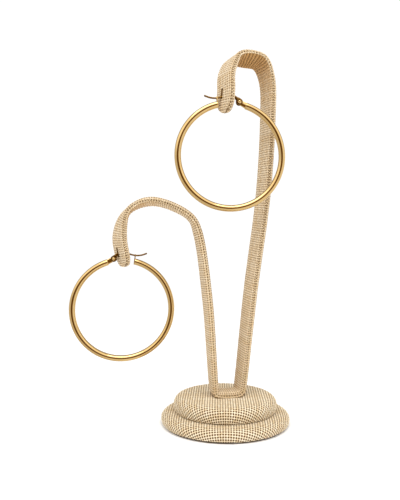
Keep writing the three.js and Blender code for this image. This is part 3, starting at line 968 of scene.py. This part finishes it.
def make_lever(side):
    """The lever: sheet folded round the tab as a fork, and drawn out to the tongue that holds the wire."""
    lever = make_plate(PIVOT, LEVER["radius"], LEVER["shoulder"], LEVER["shoulder_radius"],
                       LEVER["thickness"])
    round_edges(lever, LEVER["edge"])
    cut(lever, pivot_cylinder(FORK["radius"], FORK["width"]))
    cut(lever, pivot_cylinder(RIVET["hole"], 4))
    tongue = make_plate(LEVER["shoulder"], LEVER["shoulder_radius"], TONGUE["end"], TONGUE["radius"],
                        TONGUE["thickness"])
    round_edges(tongue, TONGUE["edge"])
    lever = join([lever, tongue])
    place_on_hoop(lever, side)
    return finish_piece(lever, f"{side}_lever", SPRING_BRASS, f"{side}_wire",
                        [f"ear_wire_{side}"], sharp=30)


# ---- Stage ----

def make_floor():
    """A white floor. The metal does not see it, but the room, which goes on below."""
    deselect_all()
    bpy.ops.mesh.primitive_plane_add(size=1.0)
    floor = bpy.context.object
    floor.name = "floor"
    material, tree, shader = new_material("matt_white_studio_floor")
    shader.inputs["Base Color"].default_value = linear("#ffffff")
    shader.inputs["Roughness"].default_value = 0.9
    floor.data.materials.append(material)
    floor.visible_glossy = False


def make_world():
    """A soft white room, as the metal sees it: a broad bright panel above the front, dimmer behind, a pale
    wall to the right, a duller one to the left, and the dark warm opening that the camera looks through.
    Behind the hoops it is a plain white backdrop."""
    world = bpy.data.worlds.new("white_room")
    world.use_nodes = True
    bpy.context.scene.world = world
    tree = world.node_tree
    tree.nodes.clear()
    way = add_node(tree, "TexCoord").outputs["Generated"]
    turn = math.radians(CAMERA_TURN)
    back = (math.sin(turn), -math.cos(turn), 0)
    right = (math.cos(turn), math.sin(turn), 0)
    facing, side, up = (
        add_node(tree, "VectorMath", {0: way, 1: axis}, operation="DOT_PRODUCT").outputs["Value"]
        for axis in (back, right, (0, 0, 1))
    )
    panel = add_node(tree, "MapRange", {
        "Value": facing, "From Min": -0.35, "From Max": 0.2, "To Min": ROOM["behind"],
        "To Max": ROOM["panel"],
    }, interpolation_type="SMOOTHSTEP")
    walls = add_node(tree, "MapRange", {
        "Value": side, "From Min": -0.3, "From Max": 0.3, "To Min": ROOM["left_wall"],
        "To Max": ROOM["right_wall"],
    }, interpolation_type="SMOOTHSTEP")
    height = add_node(tree, "MapRange", {
        "Value": up, "From Min": 0.1, "From Max": 0.5,
    }, interpolation_type="SMOOTHSTEP")
    room = add_node(tree, "Mix", {
        "Factor": height.outputs["Result"], "A": walls.outputs["Result"], "B": panel.outputs["Result"],
    }).outputs["Result"]

    wide = add_node(tree, "Math", {0: side, 1: OPENING["across"]}, operation="DIVIDE")
    tall = add_node(tree, "Math", {0: up, 1: OPENING["up"]}, operation="DIVIDE")
    wide_square = add_node(tree, "Math", {0: wide.outputs[0], 1: 2.0}, operation="POWER")
    tall_square = add_node(tree, "Math", {0: tall.outputs[0], 1: 2.0}, operation="POWER")
    spread = add_node(tree, "Math", {0: wide_square.outputs[0], 1: tall_square.outputs[0]},
                      operation="ADD")
    rim = add_node(tree, "MapRange", {"Value": spread.outputs[0], "From Min": 0.8, "From Max": 1.2})
    behind = add_node(tree, "Math", {0: facing, 1: 0.0}, operation="LESS_THAN")
    opening = add_node(tree, "Math", {0: rim.outputs["Result"], 1: behind.outputs[0]}, operation="MAXIMUM")
    seen = add_node(tree, "LightPath").outputs["Is Camera Ray"]
    plain = add_node(tree, "Math", {0: opening.outputs[0], 1: seen}, operation="MAXIMUM")
    tone = add_node(tree, "Mix", {
        "Factor": plain.outputs[0], "A": OPENING["glow"], "B": (1.0, 1.0, 1.0, 1.0),
    }, data_type="RGBA")
    strength = add_node(tree, "Mix", {"Factor": seen, "A": room, "B": ROOM["backdrop"]})
    background = add_node(tree, "Background", {
        "Color": tone.outputs["Result"], "Strength": strength.outputs["Result"],
    })
    add_node(tree, "OutputWorld", {"Surface": background.outputs[0]})


def make_softbox():
    light = bpy.data.lights.new("top_softbox", "AREA")
    light.shape = "RECTANGLE"
    light.size, light.size_y = mm(SOFTBOX["size"])
    light.energy = SOFTBOX["power"]
    lamp = bpy.data.objects.new("top_softbox", light)
    lamp.location = mm(SOFTBOX["place"])
    towards = Vector(SOFTBOX["aim"]) - Vector(SOFTBOX["place"])
    lamp.rotation_euler = towards.to_track_quat("-Z", "Y").to_euler()
    bpy.context.scene.collection.objects.link(lamp)


def make_camera():
    camera = bpy.data.cameras.new("camera")
    camera.lens = LENS
    camera.clip_start, camera.clip_end = 0.01, 20
    view = bpy.data.objects.new("camera", camera)
    view.location = mm(CAMERA_PLACE)
    view.rotation_euler = (math.pi / 2, 0, math.radians(CAMERA_TURN))
    bpy.context.scene.collection.objects.link(view)
    bpy.context.scene.camera = view


# ---- Making ----

make_camera()
make_world()
make_floor()
make_softbox()
bpy.context.scene.view_settings.view_transform = "Standard"

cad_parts["base_pad"].data.materials.clear()
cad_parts["base_pad"].data.materials.append(FELT)

make_disc_cover("lower_disc_cover", LOWER_DISC, "base_lower_disc", pressed=False)
make_disc_cover("upper_disc_cover", UPPER_DISC, "base_upper_disc", pressed=True)

strip_course = Course()
strip_cover = make_strip_cover(strip_course)
cut_slot(strip_cover, strip_course, "left")
cut_slot(strip_cover, strip_course, "right")
finish_piece(strip_cover, "strip_cover", LINEN, "stand", ["strip"])
make_seam_stitches(strip_course)

for side in HOOPS:
    make_tube(side)
    make_tab(side)
    make_catch(side)
    make_rivet(side)
    make_lever(side)
    make_wire(side)
